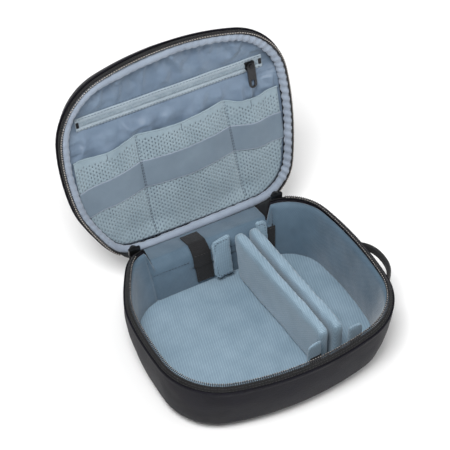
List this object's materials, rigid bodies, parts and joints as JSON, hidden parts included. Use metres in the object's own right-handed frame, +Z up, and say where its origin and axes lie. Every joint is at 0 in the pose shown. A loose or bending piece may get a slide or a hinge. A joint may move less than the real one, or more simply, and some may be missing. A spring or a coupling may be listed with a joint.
{
  "type": "travel organizer case",
  "caption": "Zip-around padded travel case with a hinged lid, padded dividers, a zip pocket, mesh pockets and an elastic band inside the lid.",
  "frame": {"origin": "middle of the resting face under the base", "axes": "+X across the case to its right side, +Y from the front to the hinge, +Z up"},
  "size_m": [0.233, 0.2809, 0.2179],
  "materials": {
    "shell_fabric": "coated fine weave on moulded foam",
    "lining_fabric": "brushed ribbed lining",
    "divider_fabric": "brushed ribbed lining on foam",
    "satin_lining": "smooth satin twill",
    "piping_fabric": "soft gathered binding",
    "stiffening_board": "plain sheet",
    "zipper_tape": "woven zipper tape",
    "zipper_coil": "nylon coil",
    "pocket_tape": "woven zipper tape",
    "slider_metal": "black enamel",
    "pull_plastic": "moulded",
    "mesh_fabric": "ribbed air mesh",
    "elastic": "woven elastic",
    "webbing": "flat webbing",
    "hook_and_loop": "hook and loop tape"
  },
  "bodies": {
    "base": {"base_shell": "shell_fabric", "base_board": "stiffening_board", "base_floor_pad": "lining_fabric", "base_lining": "lining_fabric", "base_zipper_tape": "zipper_tape", "base_zipper_coil": "zipper_coil", "side_handle": "webbing", "main_slider_left": "slider_metal", "zipper_end_tab_left": "zipper_tape", "loop_strip_rear_left": "hook_and_loop", "loop_strip_front_left": "hook_and_loop", "main_slider_right": "slider_metal", "zipper_end_tab_right": "zipper_tape", "loop_strip_rear_right": "hook_and_loop", "loop_strip_front_right": "hook_and_loop"},
    "lid": {"lid_shell": "shell_fabric", "lid_board": "stiffening_board", "lid_lining": "lining_fabric", "lid_piping": "piping_fabric", "lid_zipper_tape": "zipper_tape", "lid_zipper_coil": "zipper_coil", "lid_upper_panel": "satin_lining", "lid_lower_panel": "satin_lining", "pocket_zipper_tape": "pocket_tape", "pocket_zipper_coil": "pocket_tape", "pocket_zipper_stop_left": "slider_metal", "pocket_zipper_stop_right": "slider_metal", "mesh_pockets": "mesh_fabric", "elastic_band": "elastic", "hinge_gusset": "shell_fabric", "hinge_lining": "lining_fabric"},
    "pocket_slider": {"pocket_slider": "slider_metal"},
    "pocket_pull": {"pocket_pull": "pull_plastic"},
    "main_pull_left": {"main_pull_left": "pull_plastic"},
    "divider_left": {"divider_left": "divider_fabric"},
    "divider_left_rear_flap": {"divider_left_rear_flap": "divider_fabric", "hook_left_rear": "hook_and_loop"},
    "divider_left_front_flap": {"divider_left_front_flap": "divider_fabric", "hook_left_front": "hook_and_loop"},
    "main_pull_right": {"main_pull_right": "pull_plastic"},
    "divider_right": {"divider_right": "divider_fabric"},
    "divider_right_rear_flap": {"divider_right_rear_flap": "divider_fabric", "hook_right_rear": "hook_and_loop"},
    "divider_right_front_flap": {"divider_right_front_flap": "divider_fabric", "hook_right_front": "hook_and_loop"}
  },
  "joints": [
    {"name": "lid_hinge", "type": "hinge", "parent": "base", "child": "lid", "pos_m": [0, 0.1023, 0.0465], "axis": [1, 0, 0], "range_deg": [0, 105]},
    {"name": "pocket_slider_travel", "type": "slide", "parent": "lid", "child": "pocket_slider", "axis": [1, 0, 0], "range_m": [-0.155, 0]},
    {"name": "pocket_pull_swing", "type": "hinge", "parent": "pocket_slider", "child": "pocket_pull", "pos_m": [0.077, 0.16657, 0.16832], "axis": [0, 0.9659, -0.2588], "range_deg": [-75, 75]},
    {"name": "main_pull_left_swing", "type": "hinge", "parent": "base", "child": "main_pull_left", "pos_m": [-0.07, 0.1077, 0.0653], "axis": [0, 1, 0], "range_deg": [-8, 70]},
    {"name": "divider_left_shift", "type": "slide", "parent": "base", "child": "divider_left", "axis": [1, 0, 0], "range_m": [-0.012, 0]},
    {"name": "divider_left_rear_flap_fold", "type": "hinge", "parent": "divider_left", "child": "divider_left_rear_flap", "pos_m": [0.01696, 0.08459, 0.034], "axis": [-0.0149, 0.1894, 0.9818], "range_deg": [0, 85]},
    {"name": "divider_left_front_flap_fold", "type": "hinge", "parent": "divider_left", "child": "divider_left_front_flap", "pos_m": [0.02762, -0.05088, 0.034], "axis": [0, 0, 1], "range_deg": [-85, 0]},
    {"name": "main_pull_right_swing", "type": "hinge", "parent": "base", "child": "main_pull_right", "pos_m": [0.07, 0.1077, 0.0653], "axis": [0, 1, 0], "range_deg": [-70, 8]},
    {"name": "divider_right_shift", "type": "slide", "parent": "base", "child": "divider_right", "axis": [1, 0, 0], "range_m": [0, 0.006]},
    {"name": "divider_right_rear_flap_fold", "type": "hinge", "parent": "divider_right", "child": "divider_right_rear_flap", "pos_m": [0.04113, 0.08539, 0.034], "axis": [-0.0149, 0.1894, 0.9818], "range_deg": [-85, 0]},
    {"name": "divider_right_front_flap_fold", "type": "hinge", "parent": "divider_right", "child": "divider_right_front_flap", "pos_m": [0.05179, -0.05008, 0.034], "axis": [0, 0, 1], "range_deg": [0, 85]}
  ]
}
